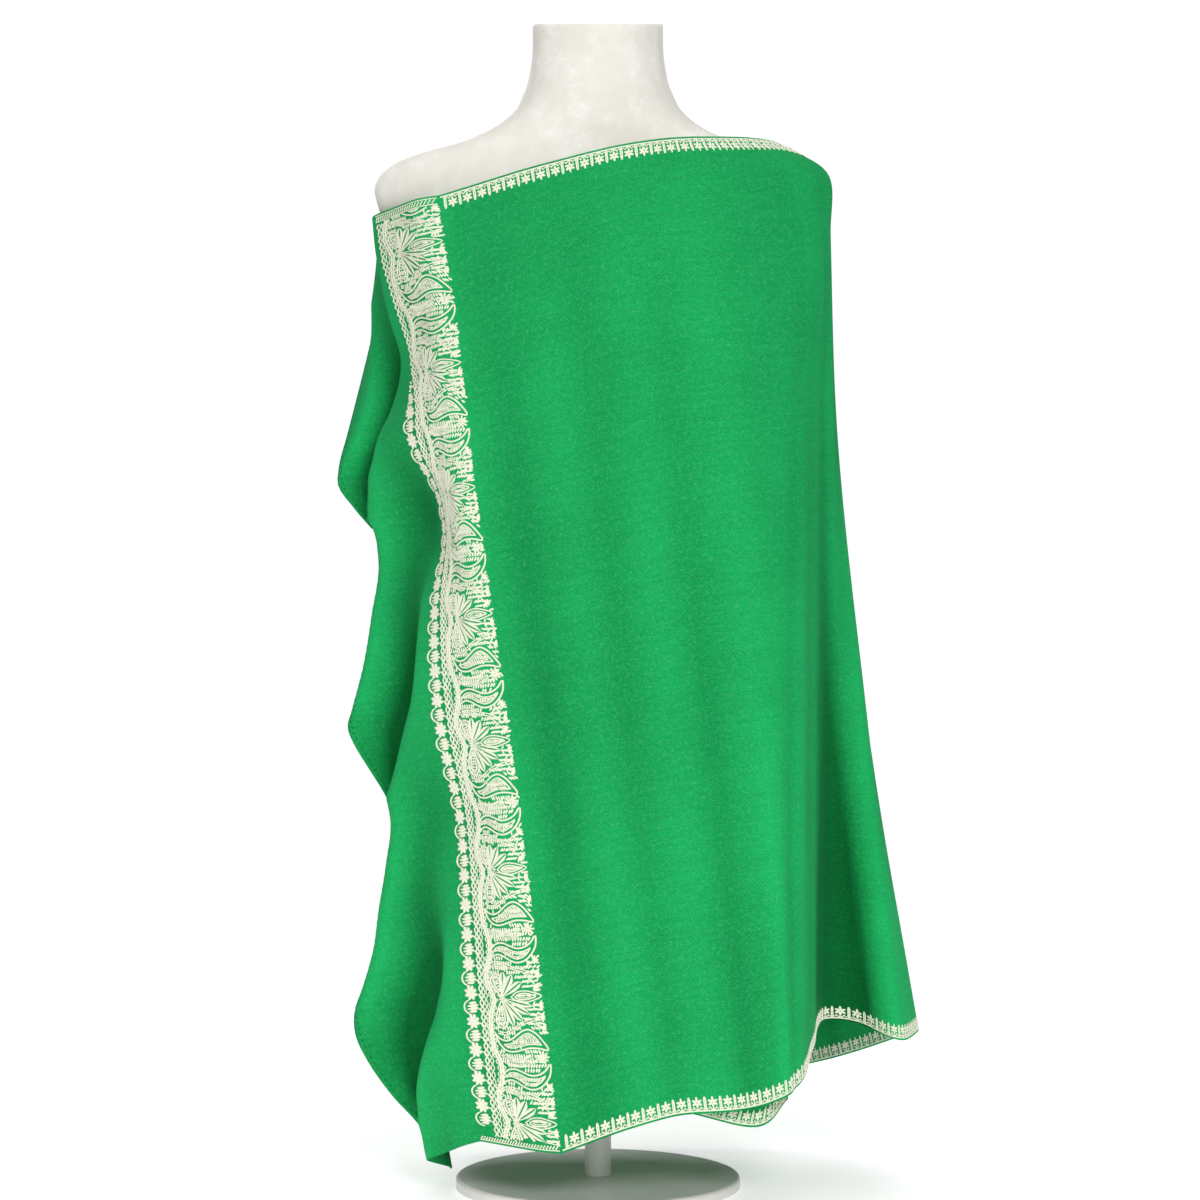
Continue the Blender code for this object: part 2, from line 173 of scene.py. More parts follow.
# Each row of the flap is then moved sideways, more and more towards its free edge, until its
# outermost point is here. The free edge's two upper corners and its lower one are where x is least.
OUTLINE = (
    # v, x
    (0.00, -0.2110), (0.06, -0.2175), (0.14, -0.2325), (0.20, -0.2440), (0.232, -0.2505),
    (0.246, -0.2512), (0.270, -0.2360), (0.298, -0.2145), (0.325, -0.2095), (0.38, -0.2175),
    (0.43, -0.2255), (0.465, -0.2345), (0.484, -0.2388), (0.500, -0.2330), (0.520, -0.2220),
    (0.550, -0.2055), (0.578, -0.1950), (0.62, -0.1995), (0.66, -0.2070), (0.70, -0.2130),
    (0.735, -0.2235), (0.755, -0.2305), (0.775, -0.2295), (0.80, -0.2180), (0.83, -0.1965),
    (0.86, -0.1680), (0.89, -0.1595),
)
PALLA_START = 0.035  # the front turns into the palla over this length
TURN_START = 0.04  # the palla turns into the flap over this length
FOLD_START = 0.15  # the flap's folds deepen over this one
OUTLINE_START = 0.12  # each row has moved to the outline over this one
HEADING_STEP = 0.0025
FOLD_SOFTNESS = 0.6  # how gently the flap turns at its folds: near 0 each fold is a crease


def smooth(knots, values, at):
    """The smooth curve through the values at the knots, read at each place of at."""
    knots, values, at = (np.asarray(each, float) for each in (knots, values, at))
    values = values.reshape(len(knots), -1)
    steps = np.diff(knots)[:, None]
    slopes = np.diff(values, axis=0) / steps
    middle = (slopes[:-1] * steps[1:] + slopes[1:] * steps[:-1]) / (steps[:-1] + steps[1:])
    tangents = np.vstack([slopes[:1], middle, slopes[-1:]])
    first = np.clip(np.searchsorted(knots, at, side="right") - 1, 0, len(knots) - 2)
    step = steps[first]
    t = (at[:, None] - knots[first][:, None]) / step
    return (
        values[first] * (2 * t**3 - 3 * t**2 + 1)
        + tangents[first] * step * (t**3 - 2 * t**2 + t)
        + values[first + 1] * (3 * t**2 - 2 * t**3)
        + tangents[first + 1] * step * (t**3 - t**2)
    )


def ease(t):
    """Rises smoothly from 0 to 1 as t does."""
    t = np.clip(t, 0.0, 1.0)
    return t * t * (3 - 2 * t)


def all_lines():
    """Every hanging line in order, as (name, flat places at top and hem, points at the levels)."""
    lines = [(row[0], row[1:3], np.array(row[3:])) for row in LINES]
    fronts = {name: points for name, _, points in lines}
    share = (np.array(LEVELS) / CLOTH_WIDTH)[:, None]
    for name, top, hem, top_move, hem_move in UNDER_LINES:
        move = np.array(top_move) * (1 - share) + np.array(hem_move) * share
        lines.append((f"under {name}", (top, hem), fronts[name] + move))
    return lines


HANGING = all_lines()
PLACES = {name: sum(flat) / 2 for name, flat, _ in HANGING}  # a line's place along the cloth


def hanging_row(v, places):
    """The points of one row past the palla line, at the given places along the cloth."""
    at_v = np.array([smooth(LEVELS, points, [v])[0] for _, _, points in HANGING])
    return smooth(list(PLACES.values()), at_v, places)


def fold_phase(u, v):
    """Counts the flap's ridges at (u, v): whole on an outer ridge, half on an inner fold."""
    share = u / FLAP_LENGTH
    across = [free * (1 - share) + palla * share for _, free, palla in FLAP_FOLDS]
    return np.interp(v, across, np.arange(len(across)) / 2 + 1)


def headings_row(v):
    """The row of HEADINGS at v, without its v."""
    return smooth([row[0] for row in HEADINGS], [row[1:] for row in HEADINGS], [v])[0]


def headings(u, v, first):
    """The headings in radians of row v at the flat places u, from first, at the palla line, on."""
    palla, middle, swing = headings_row(v)[:3]
    phase = np.array([fold_phase(each, v) for each in u])
    palla = np.degrees(first) + (palla - np.degrees(first)) * ease((PALLA_LINE - u) / PALLA_START)
    turned = ease((FLAP_LENGTH - u) / TURN_START)
    deep = ease((FLAP_LENGTH - u) / FOLD_START)
    wave = np.sin(2 * math.pi * phase)
    wave = wave * np.sqrt((1 + FOLD_SOFTNESS**2) / (wave**2 + FOLD_SOFTNESS**2))
    return np.radians(palla + (middle - palla) * turned - swing * deep * wave)


def free_row(v, places):
    """The points of one row between the free end and the palla line."""
    line = PLACES["palla line"]
    start, after = hanging_row(v, [line, line + HEADING_STEP])
    first = math.atan2(start[1] - after[1], after[0] - start[0])
    u = np.arange(PALLA_LINE, -HEADING_STEP / 2, -HEADING_STEP)
    turn = headings(u - HEADING_STEP / 2, v, first)
    x = start[0] - np.concatenate([[0], np.cumsum(np.cos(turn))[:-1]]) * HEADING_STEP
    y = start[1] + np.concatenate([[0], np.cumsum(np.sin(turn))[:-1]]) * HEADING_STEP
    outermost = smooth([row[0] for row in OUTLINE], [row[1] for row in OUTLINE], [v])[0, 0]
    x = x + (outermost - x.min()) * ease((FLAP_LENGTH - u) / OUTLINE_START)
    palla_fall, flap_fall = headings_row(v)[3:]
    z = start[2] - palla_fall * np.minimum(PALLA_LINE - u, PALLA_WIDTH)
    z = z - flap_fall * np.maximum(FLAP_LENGTH - u, 0.0)
    return np.column_stack([np.interp(places, u[::-1], each[::-1]) for each in (x, y, z)])


# ---- The fine surface of the cloth ----

FAR_END = PLACES["under ridge"]
CLOTH_THICKNESS = 0.0009
ROW_STEP = 0.006
FREE_STEP = 0.0038
FIELD_STEP = 0.0064

# Soft folds that the field falls into between its lines. Each runs straight from the top selvedge
# to the hem and stands out from the cloth, or in where its height is negative.
SOFT_FOLDS = (
    # place at the top, place at the hem, half width, height at the top, halfway, at the hem
    (0.292, 0.290, 0.030, -0.0006, -0.0050, -0.0040),
    (0.330, 0.334, 0.018, 0.0000, 0.0007, 0.0018),
    (0.364, 0.360, 0.020, 0.0000, -0.0020, -0.0016),
    (0.404, 0.396, 0.022, 0.0004, 0.0022, 0.0018),
    (0.438, 0.430, 0.017, 0.0000, -0.0022, -0.0024),
    (0.468, 0.490, 0.019, 0.0008, 0.0036, 0.0042),
    (0.545, 0.500, 0.009, -0.0004, -0.0030, -0.0036),
    (0.588, 0.575, 0.012, 0.0004, 0.0018, 0.0010),
    (0.626, 0.638, 0.016, 0.0004, 0.0036, -0.0150),
    (0.700, 0.690, 0.016, 0.0000, -0.0016, -0.0030),
    (0.765, 0.760, 0.018, 0.0000, 0.0020, 0.0040),
    (0.830, 0.820, 0.020, 0.0000, -0.0024, -0.0060),
    (0.890, 0.885, 0.024, 0.0000, 0.0026, 0.0060),
    (0.960, 0.950, 0.022, 0.0000, -0.0026, -0.0060),
    (1.020, 1.020, 0.022, 0.0000, 0.0024, 0.0055),
    (1.090, 1.085, 0.022, 0.0000, -0.0022, -0.0050),
    (1.150, 1.145, 0.020, 0.0000, 0.0016, 0.0035),
)


def fine_grid():
    """Rows, places, points and outward normals of the cloth's middle surface."""
    rows = np.linspace(0.0, CLOTH_WIDTH, round(CLOTH_WIDTH / ROW_STEP) + 1)
    free = np.linspace(0.0, PALLA_LINE, round(PALLA_LINE / FREE_STEP) + 1)
    field = np.linspace(PALLA_LINE, FAR_END, round((FAR_END - PALLA_LINE) / FIELD_STEP) + 1)[1:]
    points = np.array([np.vstack([free_row(v, free), hanging_row(v, field)]) for v in rows])
    places = np.concatenate([free, field])
    out = outward(points)
    share = rows[:, None] / CLOTH_WIDTH
    for top, hem, half, *heights in SOFT_FOLDS:
        height = smooth((0.0, 0.5, 1.0), heights, share[:, 0])
        across = (places[None, :] - top * (1 - share) - hem * share) / half
        points = points + out * (height * np.exp(-(across**2)))[:, :, None]
    return rows, places, points, outward(points)


def outward(points):
    """Unit normals of a grid of points, out of the cloth's right side."""
    out = np.cross(np.gradient(points, axis=0), np.gradient(points, axis=1))
    return out / np.linalg.norm(out, axis=2, keepdims=True)


ROWS, FINE_PLACES, SURFACE, OUT = fine_grid()


def hollow_depth(reach):
    """How far in metres each point lies behind its neighbours a reach away along its row."""
    depth = np.zeros(SURFACE.shape[:2])
    for row, (points, out) in enumerate(zip(SURFACE, OUT)):
        before, after = (
            np.column_stack([np.interp(FINE_PLACES + move, FINE_PLACES, axis) for axis in points.T])
            for move in (-reach, reach)
        )
        depth[row] = np.sum(((before + after) / 2 - points) * out, axis=1)
    inside = np.minimum(FINE_PLACES, FAR_END - FINE_PLACES) / reach
    return depth * np.clip(inside, 0.0, 1.0)


LINE_PLACES = np.array(list(PLACES.values()))
LINE_FLATS = np.array([flat for _, flat, _ in HANGING])


def flats_at(v):
    """The flat places of the hanging lines, a row for each distance v from the top selvedge."""
    share = np.asarray(v, float)[:, None] / CLOTH_WIDTH
    return LINE_FLATS[:, 0] * (1 - share) + LINE_FLATS[:, 1] * share


def place_of(flat, v):
    """The place along the cloth of each flat point."""
    place = np.array(flat, float)
    lines = flats_at(v)
    for i in range(len(LINE_PLACES) - 1):
        low, high = lines[:, i], lines[:, i + 1]
        inside = (flat >= low) & ((flat <= high) | (i == len(LINE_PLACES) - 2))
        share = (flat - low) / (high - low)
        there = LINE_PLACES[i] + share * (LINE_PLACES[i + 1] - LINE_PLACES[i])
        place = np.where(inside, there, place)
    return np.minimum(place, FAR_END)


def on_cloth(flat, v, lift):
    """Points over the flat places, lifted off the cloth's middle surface to its right side."""
    v = np.clip(v, 0.0, CLOTH_WIDTH)
    column = np.interp(place_of(flat, v), FINE_PLACES, np.arange(len(FINE_PLACES)))
    row = np.interp(v, ROWS, np.arange(len(ROWS)))
    i = np.minimum(row.astype(int), len(ROWS) - 2)
    j = np.minimum(column.astype(int), len(FINE_PLACES) - 2)
    a, b = (row - i)[:, None], (column - j)[:, None]

    def between(grid):
        """The grid's value at each place, from the four corners round it."""
        left = grid[i, j] * (1 - a) + grid[i + 1, j] * a
        right = grid[i, j + 1] * (1 - a) + grid[i + 1, j + 1] * a
        return left * (1 - b) + right * b

    return between(SURFACE) + between(OUT) * np.asarray(lift)[:, None]


# ---- Small helpers for pieces ----


def piece(name, bm, finish):
    """A smooth named object made of the bmesh, which it uses up."""
    mesh = bpy.data.meshes.new(name)
    bm.to_mesh(mesh)
    bm.free()
    mesh.materials.append(finish)
    mesh.polygons.foreach_set("use_smooth", [True] * len(mesh.polygons))
    made = bpy.data.objects.new(name, mesh)
    bpy.context.scene.collection.objects.link(made)
    return made


def grid_piece(name, points, columns, finish, gaps=()):
    """A piece from a grid of faces whose corners are the points, row by row.

    A gap is the number of a column of faces that is left out.
    """
    bm = bmesh.new()
    rows = len(points) // columns
    bmesh.ops.create_grid(bm, x_segments=columns - 1, y_segments=rows - 1, size=1.0)
    bmesh.ops.reverse_faces(bm, faces=bm.faces)
    bm.faces.ensure_lookup_table()
    open_faces = [bm.faces[k] for gap in gaps for k in range(gap, len(bm.faces), columns - 1)]
    bmesh.ops.delete(bm, geom=open_faces, context="FACES_ONLY")
    bmesh.ops.delete(bm, geom=[edge for edge in bm.edges if not edge.link_faces], context="EDGES")
    made = piece(name, bm, finish)
    made.data.vertices.foreach_set("co", np.asarray(points, np.float32).ravel())
    made.data.update()
    return made


def set_uv(made, uv):
    """Gives the piece a UV map with one place for each vertex."""
    mesh = made.data
    corners = np.empty(len(mesh.loops), np.int32)
    mesh.loops.foreach_get("vertex_index", corners)
    layer = mesh.uv_layers.new(name="flat_cloth")
    layer.data.foreach_set("uv", np.asarray(uv, np.float32)[corners].ravel())


# ---- Drawing with thread on the flat cloth ----

STITCH = 0.0019  # longest straight run of a thread
LONG_STITCH = 0.004  # the same on straight lines and bars
ACROSS = (-1.0, -0.5, 0.5, 1.0)  # the profile of a thread, across it
CROWN = (0.0, 0.94, 0.94, 0.0)  # and its height there
# Places along a fat stitch and along a petal, and how wide it is there
FAT_STITCH = ((-1.0, 0.45), (-0.3, 0.95), (0.5, 1.0), (1.0, 0.3))
PETAL = ((0.0, 0.05), (0.25, 0.26), (0.55, 0.44), (0.8, 0.44), (0.95, 0.22), (1.0, 0.02))
RIM = 0.0008  # a leaf's outline keeps this much bare ground on both sides


def lengths(points):
    """How far along the path each of its points lies."""
    return np.concatenate([[0], np.cumsum(np.linalg.norm(np.diff(points, axis=0), axis=1))])


def flow(points, step=STITCH):
    """A smooth path through the points, with a corner every step."""
    points = np.asarray(points, float)
    if len(points) > 2:
        knots = lengths(points)
        points = smooth(knots, points, np.linspace(0, knots[-1], 6 * len(points)))
    along = lengths(points)
    at = np.linspace(0, along[-1], max(2, round(along[-1] / step) + 1))
    return np.column_stack([np.interp(at, along, axis) for axis in points.T])


def unit(vectors):
    """A vector or a row of vectors, made one long."""
    return vectors / np.maximum(np.linalg.norm(vectors, axis=-1, keepdims=True), 1e-9)


def quarter(vectors):
    """The same turned a quarter turn."""
    return np.stack([-vectors[..., 1], vectors[..., 0]], axis=-1)


def way_at(angle):
    """The unit vector at an angle in radians."""
    return np.array([math.cos(angle), math.sin(angle)])


def beside(path, distance):
    """The path moved sideways by a distance, to the right of its direction when positive."""
    return path + quarter(unit(np.gradient(path, axis=0))) * distance


def closed(path):
    """The path with its first point again at its end."""
    return np.vstack([path, path[:1]])


def inset(outline, distance):
    """A closed outline moved inwards, less the points that come too near to it."""
    area = np.sum(outline[:-1, 0] * outline[1:, 1] - outline[1:, 0] * outline[:-1, 1])
    moved = beside(outline, distance if area > 0 else -distance)
    apart = np.linalg.norm(moved[:, None] - outline[None], axis=2).min(axis=1)
    return moved[apart > 0.93 * distance]


def cuts(outline, angle, spacing, shortest=0.0012):
    """Straight runs that fill a closed outline, at an angle in degrees."""
    way = way_at(math.radians(angle))
    spin = np.array([way, quarter(way)])
    turned = outline @ spin.T
    for level in np.arange(turned[:, 1].min() + spacing / 2, turned[:, 1].max(), spacing):
        low, high = turned, np.roll(turned, -1, axis=0)
        crossed = (low[:, 1] > level) != (high[:, 1] > level)
        low, high = low[crossed], high[crossed]
        share = (level - low[:, 1]) / (high[:, 1] - low[:, 1])
        found = np.sort(low[:, 0] + share * (high[:, 0] - low[:, 0]))
        for left, right in zip(found[::2], found[1::2]):
            if right - left > shortest:
                yield np.array([[left, level], [right, level]]) @ spin


class Needlework:
    """Threads drawn on the flat cloth: each is a path and its half width at each point of it."""

    def __init__(self):
        self.threads = []
        self.bare = []  # paths that stay free of ground stitches, each with its half widths

    def lay(self, path, half):
        """A thread along a finished path, with one half width or one for each point."""
        self.threads.append((path, np.broadcast_to(half, len(path))))

    def clear(self, path, half):
        """Bare ground along a path, as wide as a thread of that half width."""
        self.bare.append((path, np.broadcast_to(half, len(path))))

    def thread(self, points, width, step=STITCH, taper=0.0):
        """A thread that flows through the points, narrower towards its ends by the taper."""
        path = flow(points, step)
        share = np.linspace(0, 1, len(path))
        self.lay(path, width / 2 * (1 - taper * np.abs(2 * share - 1) ** 3))
        return path

    def bar(self, start, end, width, step=LONG_STITCH):
        """A straight thread."""
        self.thread([start, end], width, step)

    def blob(self, centre, direction, length, width):
        """One fat stitch, such as a petal or a seed."""
        along, wide = np.array(FAT_STITCH).T
        way = unit(np.asarray(direction, float)) * length / 2
        self.lay(np.asarray(centre, float) + along[:, None] * way, width / 2 * wide)

    def star(self, centre, radius, petals, width, turn=0.0):
        """A small round flower of fat stitches about its middle."""
        for k in range(petals):
            way = way_at(turn + 2 * math.pi * k / petals)
            self.blob(np.asarray(centre) + way * radius * 0.56, way, radius * 0.9, width)

    def sprig(self, foot, head, radius):
        """A stem with a flower of five petals at its head and a leaf on each side."""
        self.thread([foot, head], 0.0013)
        way = unit(head - foot)
        side = quarter(way)
        for lean in (-1.0, -0.45, 0.0, 0.45, 1.0):
            petal = way * (1 - 0.35 * abs(lean)) + side * lean
            self.blob(head + petal * radius * 0.55, petal, radius, 0.0023)
        middle = foot + (head - foot) * 0.55
        for lean in (-1.0, 1.0):
            leaf = way * 0.6 + side * lean
            self.blob(middle + leaf * radius * 0.5, leaf, radius * 0.9, 0.0018)

    def feather(self, spine, length, spacing, width):
        """A spine with short barbs along both of its sides."""
        spine = self.thread(spine, 0.0012, step=spacing)
        for point, way in list(zip(spine, unit(np.gradient(spine, axis=0))))[1:-1]:
            for side in (quarter(way), -quarter(way)):
                barb = side + way * 0.6
                self.blob(point + barb * length * 0.55, barb, length, width)

    def leaf(self, outline, angle, wall=0.0019, gap=0.0035):
        """A leaf: an outline with a bare line on each side of it, two veins, and a hatched core."""
        ring = flow(outline)
        self.lay(ring, wall / 2)
        self.clear(ring, wall / 2 + RIM)
        self.clear(inset(ring, gap / 2), gap / 2 - RIM)
        vein = inset(ring, gap)
        if len(vein) < 6:
            return
        vein = closed(vein)
        self.lay(vein, 0.0008)
        lining = inset(vein, 0.0016)
        if len(lining) > 6:
            lining = closed(lining)
            self.lay(lining, 0.0006)
            core = inset(lining, 0.0009)
            for run in cuts(core, angle, 0.0021) if len(core) > 4 else ():
                self.bar(*run, 0.0015)

    def petal(self, base, tip, width, ladder):
        """A long petal: a pair of satin ribs, or a double outline with the rungs of a ladder."""
        length = np.linalg.norm(tip - base)
        way = unit(tip - base)
        side = quarter(way)
        along, wide = np.array(PETAL).T

        def line(places, out):
            """Points at the places along the petal, each so far out to its side."""
            return base + places[:, None] * way * length + out[:, None] * side * width

        if not ladder:
            for lean in (-0.5, 0.5):
                self.lay(line(along, lean * wide), np.maximum(width * wide * 0.5 - 0.0005, 0.0003))
            self.clear(line(along, 0 * wide), width * wide + 0.0006)
            return
        for lean in (-1.0, 1.0):
            self.thread(line(along, lean * wide), 0.0020)
            self.thread(line(0.16 + along * 0.74, lean * 0.55 * wide), 0.0017)
        for share in np.arange(0.30, 0.88, 0.0026 / length):
            self.blob(base + way * length * share, side, width * 0.36, 0.0018)


# ---- The end band ----

# The repeat is drawn in shares of the band's width and of the repeat's height
REPEAT = 0.1168
REPEATS = range(-1, 9)  # counted from the first whole one
FIRST_REPEAT = 0.0955 - REPEAT  # where repeat 0 starts, from the top selvedge
BAND_TOP = 0.0095  # the slanted edging takes this much of the top
BAND_FOOT = CLOTH_WIDTH - 0.0070  # the hem's edging starts here
BUD_PITCH = 0.0136
TUCK = 0.0205  # at the shoulder this much of the band, its edge of buds, is turned under
TUCK_END = (0.150, 0.205)  # and comes out again between these distances from the top
CORNER = 0.0100  # the band reaches this much round the shoulder's corner
CORNER_END = (0.050, 0.105)  # and draws back between these

STEM = (
    (0.352, 0.0), (0.392, 0.06), (0.420, 0.13), (0.415, 0.22), (0.360, 0.33), (0.335, 0.44),
    (0.385, 0.54), (0.412, 0.60), (0.362, 0.69), (0.335, 0.80), (0.340, 0.92),
)
STEM_THREADS = ((-0.0013, 0.0027), (0.0013, 0.0027))  # distance beside the stem's line, width
STEM_ROOM = 0.0056  # the stem and its tendrils take this much to each side
TENDRIL = (0.0066, 0.0046, 0.0014)  # from knot to knot, sway to each side, width
VINES = ((0.0208, 0.0022, 0.0017), (0.0258, 0.0019, 0.0012))  # from the band's edge, sway, width
BUD = 0.0088  # a bud's middle, from the band's edge
BUD_STITCHES = (  # rise from its middle, length
    (-0.0040, 0.0084), (-0.0014, 0.0124), (0.0014, 0.0124), (0.0040, 0.0084),
)
GROUND_ACROSS, GROUND_ALONG = 0.0026, 0.0043  # between ground stitches, and between their rows
GROUND_STITCH = (0.0040, 0.0023)  # length, width
OVERLAP = 0.0002  # a ground stitch's middle may come this far over a thread's edge
SPARE = 0.0005  # and stays this far off a bare line
LOW_LEAF = (
    (0.385, -0.125), (0.44, -0.088), (0.50, -0.074), (0.58, -0.086), (0.66, -0.122), (0.74, -0.157),
    (0.80, -0.166), (0.87, -0.140), (0.94, -0.080), (0.995, 0.0), (0.90, -0.016), (0.80, -0.020),
    (0.70, -0.004), (0.60, 0.012), (0.50, 0.002), (0.43, -0.045), (0.385, -0.125),
)
HIGH_LEAF = (
    (0.375, 0.315), (0.39, 0.245), (0.44, 0.190), (0.52, 0.155), (0.60, 0.152), (0.68, 0.172),
    (0.77, 0.196), (0.86, 0.190), (0.94, 0.155), (0.995, 0.105), (0.985, 0.185), (0.93, 0.250),
    (0.85, 0.295), (0.77, 0.308), (0.68, 0.290), (0.60, 0.258), (0.52, 0.240), (0.45, 0.256),
    (0.375, 0.315),
)
EYE_PETAL = (
    (0.64, 0.578), (0.72, 0.540), (0.80, 0.530), (0.90, 0.545), (0.990, 0.575), (0.90, 0.606),
    (0.80, 0.620), (0.71, 0.612), (0.64, 0.578),
)
HIGH_BRANCH = (
    (0.36, 0.352), (0.45, 0.310), (0.55, 0.312), (0.68, 0.348), (0.80, 0.372), (0.91, 0.41),
)
LOW_BRANCH = (
    (0.42, 0.862), (0.52, 0.872), (0.62, 0.842), (0.74, 0.792), (0.86, 0.762), (0.96, 0.752),
)
SMALL_FLOWER = (0.925, 0.052)
FEATHERS = (
    # spine, length, spacing and width of the barbs in metres
    (((0.43, 0.045), (0.55, 0.088), (0.70, 0.092), (0.83, 0.060)), 0.0050, 0.0023, 0.0016),
    (((0.44, 0.335), (0.54, 0.335), (0.64, 0.365)), 0.0030, 0.0022, 0.0014),
)
SPRIGS = (
    # foot, head, radius in metres
    ((0.80, 0.365), (0.940, 0.300), 0.0052),
    ((0.84, 0.385), (0.950, 0.400), 0.0050),
    ((0.80, 0.375), (0.930, 0.485), 0.0050),
    ((0.80, 0.650), (0.950, 0.650), 0.0048),
    ((0.84, 0.720), (0.955, 0.735), 0.0048),
    ((0.86, 0.790), (0.960, 0.815), 0.0046),
)
FLOWER = (0.515, 0.585)
PETALS = (
    # tip, width in metres, ladder inside
    ((0.440, 0.392), 0.0130, True),
    ((0.560, 0.380), 0.0110, False),
    ((0.675, 0.405), 0.0105, False),
    ((0.780, 0.460), 0.0092, False),
    ((0.870, 0.652), 0.0080, False),
    ((0.835, 0.715), 0.0084, False),
    ((0.750, 0.768), 0.0088, False),
    ((0.640, 0.806), 0.0096, False),
    ((0.480, 0.828), 0.0135, True),
)


def band(share, start):
    """Flat points of the band, from shares of its width and of the repeat that starts at start."""
    share = np.atleast_2d(np.asarray(share, float))
    return np.column_stack([FLAP_LENGTH + share[:, 0] * PALLA_WIDTH, start + share[:, 1] * REPEAT])


def draw_repeat(work, start):
    """One repeat: two mango leaves and an eye, branches and sprigs, and a fan flower."""

    def at(share):
        """The flat point of one place in the repeat."""
        return band(share, start)[0]

    work.leaf(band(LOW_LEAF, start + REPEAT), 62)
    work.leaf(band(HIGH_LEAF, start), 118)
    work.leaf(band(EYE_PETAL, start), 90, wall=0.0015, gap=0.0024)
    for offset in (-0.0013, 0.0009):
        for branch in (HIGH_BRANCH, LOW_BRANCH):
            work.thread(beside(flow(band(branch, start)), offset), 0.0013)
    for tip, width, ladder in PETALS:
        base = at(FLOWER) + (at(tip) - at(FLOWER)) * 0.10
        work.petal(base, at(tip), width, ladder)
    work.star(at(FLOWER), 0.0036, 7, 0.0018)
    for foot, head, radius in SPRIGS:
        work.sprig(at(foot), at(head), radius)
    work.star(at(SMALL_FLOWER), 0.0062, 9, 0.0022)
    work.star(at(SMALL_FLOWER), 0.0026, 5, 0.0015)
    for spine, *barbs in FEATHERS:
        work.feather(band(spine, start), *barbs)


def draw_stem(work):
    """The undulating stem of two threads, with two tendrils that cross over it; gives its path."""
    shares = [(a, t + k) for k in REPEATS for a, t in STEM]
    path = flow(band(shares, FIRST_REPEAT), 0.0022)
    path = path[(path[:, 1] > BAND_TOP) & (path[:, 1] < BAND_FOOT)]
    for offset, width in STEM_THREADS:
        work.thread(beside(path, offset), width, step=0.0024)
    step, sway, width = TENDRIL
    knots = flow(path, step)
    swing = (beside(knots, 1.0) - knots) * (sway * (-1.0) ** np.arange(len(knots)))[:, None]
    for side in (-1.0, 1.0):
        work.thread(knots + swing * side, width)
    work.clear(path, STEM_ROOM)
    return path


def draw_buds(work):
    """The scalloped edge beside the flap: buds and small flowers by turns on a twisted vine."""
    knots = np.arange(BAND_TOP + 0.002, BAND_FOOT, BUD_PITCH / 2)
    for side in (-1.0, 1.0):
        for vine, sway, width in VINES:
            swing = FLAP_LENGTH + vine + side * sway * (-1.0) ** np.arange(len(knots))
            work.thread(np.column_stack([swing, knots]), width)
    levels = np.arange(BAND_TOP + 0.0128, BAND_FOOT - 0.006, BUD_PITCH)
    for k, level in enumerate(levels):
        middle = np.array([FLAP_LENGTH + BUD, level])
        stalk = [(FLAP_LENGTH + 0.0226, level + 0.0052), (FLAP_LENGTH + 0.0180, level + 0.0022)]
        work.thread([*stalk, middle], 0.0016)
        if k % 2:
            for turn in np.radians(np.arange(20, 380, 45)):
                work.blob(middle + way_at(turn) * 0.0042, way_at(turn), 0.0062, 0.0041)
            work.blob(middle, (1, 0), 0.0040, 0.0036)
            continue
        for rise, length in BUD_STITCHES:
            work.blob(middle + (0.0014, rise), (1, -0.10), length, 0.0034)
        turns = np.radians((95, 115, 135, 160, 190, 220, 250))
        rim = [middle + (0.0010, 0) + way_at(turn) * (0.0098, 0.0074) for turn in turns]
        work.thread(rim, 0.0020, taper=0.5)


def draw_band_ends(work):
    """The slanted stitches between two lines at the band's top, and on one line along its hem."""
    left, right = FLAP_LENGTH + 0.001, PALLA_LINE - 0.001
    hem = CLOTH_WIDTH - 0.0024
    for level, width in ((0.0024, 0.0012), (BAND_TOP - 0.0010, 0.0013), (hem, 0.0013)):
        work.bar((left, level), (right, level), width)
    for x in np.arange(left + 0.001, right - 0.003, 0.0027):
        work.bar((x, BAND_TOP - 0.0020), (x + 0.0022, 0.0034), 0.0012)
    for x in np.arange(left + 0.001, right - 0.003, 0.0029):
        work.bar((x, hem - 0.0010), (x + 0.0024, hem - 0.0042), 0.0015)


def corner_reach(v):
    """How far the band goes past its own edge, round the shoulder's corner."""
    return np.interp(v, CORNER_END, (CORNER, 0.0))


def tucked(flat, v):
    """Where a flat place of the band goes once its bud edge is turned under at the shoulder."""
    shown = PALLA_WIDTH - np.interp(v, TUCK_END, (TUCK, 0.0))
    return PALLA_LINE - (PALLA_LINE - flat) * (PALLA_WIDTH + corner_reach(v)) / shown


def stretches(path, half, seen):
    """The stretches of a thread whose points are seen."""
    runs = np.split(np.arange(len(path)), np.where(np.diff(seen.astype(int)) != 0)[0] + 1)
    return [(path[run], half[run]) for run in runs if len(run) > 1 and seen[run[0]]]


def tuck(work):
    """Moves every thread of the band to its place and drops what lies under the turned edge."""
    for paths in (work.threads, work.bare):
        moved = []
        for path, half in paths:
            v = path[:, 1]
            x = tucked(path[:, 0], v)
            seen = x > FLAP_LENGTH - corner_reach(v) - 0.0004
            moved += stretches(np.column_stack([x, v]), half, seen)
        paths[:] = moved


